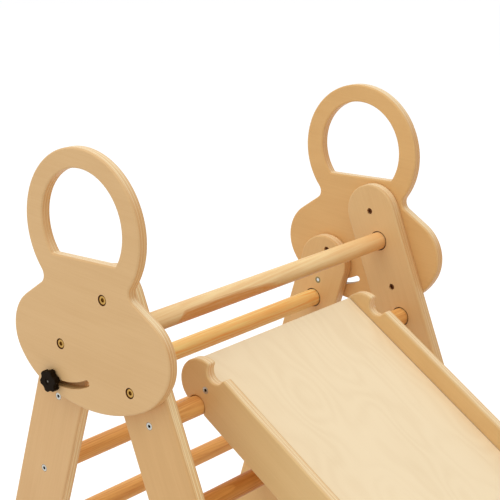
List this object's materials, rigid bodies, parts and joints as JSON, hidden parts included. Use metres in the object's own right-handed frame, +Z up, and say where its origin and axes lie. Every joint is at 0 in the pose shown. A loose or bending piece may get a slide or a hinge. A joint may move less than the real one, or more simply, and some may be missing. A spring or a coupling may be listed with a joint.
{
  "type": "climbing triangle with slide ramp",
  "caption": "Wooden climbing triangle: two ladder frames fold on side plates with ring handles and clamp knobs, and a reversible slide ramp hooks over a rung.",
  "frame": {"origin": "bottom centre of the whole object's bounding box, on the floor", "axes": "+Z up, X along the rungs, +Y from the ramp's foot towards the rear ladder; the ramp descends towards -Y"},
  "size_m": [0.7274, 1.2848, 0.9555],
  "materials": {
    "plate_plywood": "clear-lacquered birch plywood, fine grain, layered edges",
    "leg_plywood": "clear-lacquered birch plywood, layered edges",
    "dowel_wood": "sanded and oiled hardwood dowel",
    "ramp_plywood": "clear-lacquered birch plywood, layered edges",
    "slide_board": "pale smooth birch plywood",
    "cleat_wood": "sanded strip",
    "brass_hardware": "brass-plated steel",
    "zinc_steel": "zinc-plated steel",
    "knob_plastic": "black moulded plastic, satin"
  },
  "bodies": {
    "front_frame": {"side_plate_left": "plate_plywood", "side_plate_right": "plate_plywood", "front_leg_left": "leg_plywood", "front_leg_right": "leg_plywood", "front_rung_1": "dowel_wood", "front_rung_2": "dowel_wood", "front_rung_3": "dowel_wood", "front_rung_4": "dowel_wood", "front_rung_5": "dowel_wood", "front_rung_screws": "zinc_steel", "front_leg_bolts": "brass_hardware", "front_leg_nuts": "brass_hardware", "pivot_bolts": "brass_hardware", "pivot_nuts": "brass_hardware"},
    "rear_frame": {"rear_leg_left": "leg_plywood", "rear_leg_right": "leg_plywood", "rear_rung_1": "dowel_wood", "rear_rung_2": "dowel_wood", "rear_rung_3": "dowel_wood", "rear_rung_4": "dowel_wood", "rear_rung_screws": "zinc_steel", "knob_inserts": "zinc_steel"},
    "washer_left": {"knob_washer_left": "zinc_steel"},
    "knob_left": {"knob_left": "knob_plastic", "knob_stud_left": "zinc_steel"},
    "washer_right": {"knob_washer_right": "zinc_steel"},
    "knob_right": {"knob_right": "knob_plastic", "knob_stud_right": "zinc_steel"},
    "ramp": {"ramp_side_left": "ramp_plywood", "ramp_side_right": "ramp_plywood", "slide_board": "slide_board", "ramp_cleat_1": "cleat_wood", "ramp_cleat_2": "cleat_wood", "ramp_cleat_3": "cleat_wood", "ramp_cleat_4": "cleat_wood", "ramp_cleat_5": "cleat_wood", "ramp_cleat_6": "cleat_wood", "ramp_screws": "zinc_steel"}
  },
  "joints": [
    {"name": "rear_fold", "type": "hinge", "parent": "front_frame", "child": "rear_frame", "pos_m": [0, 0.3608, 0.643], "axis": [-1, 0, 0], "range_deg": [0, 39]},
    {"name": "ramp_tilt", "type": "hinge", "parent": "front_frame", "child": "ramp", "pos_m": [0, 0.19357, 0.54195], "axis": [-1, 0, 0], "range_deg": [0, 34]},
    {"name": "clamp_travel_left", "type": "slide", "parent": "rear_frame", "child": "washer_left", "axis": [-1, 0, 0], "range_m": [0, 0.0015]},
    {"name": "knob_turn_left", "type": "hinge", "parent": "washer_left", "child": "knob_left", "pos_m": [0, 0.38332, 0.58011], "axis": [-1, 0, 0], "range_deg": [0, 541]},
    {"name": "clamp_travel_right", "type": "slide", "parent": "rear_frame", "child": "washer_right", "axis": [1, 0, 0], "range_m": [0, 0.0015]},
    {"name": "knob_turn_right", "type": "hinge", "parent": "washer_right", "child": "knob_right", "pos_m": [0, 0.38332, 0.58011], "axis": [1, 0, 0], "range_deg": [0, 541]}
  ],
  "couplings": [
    {"joint": "knob_turn_left", "follows": "clamp_travel_left", "rad_per_m": 6283.2},
    {"joint": "knob_turn_right", "follows": "clamp_travel_right", "rad_per_m": 6283.2}
  ]
}
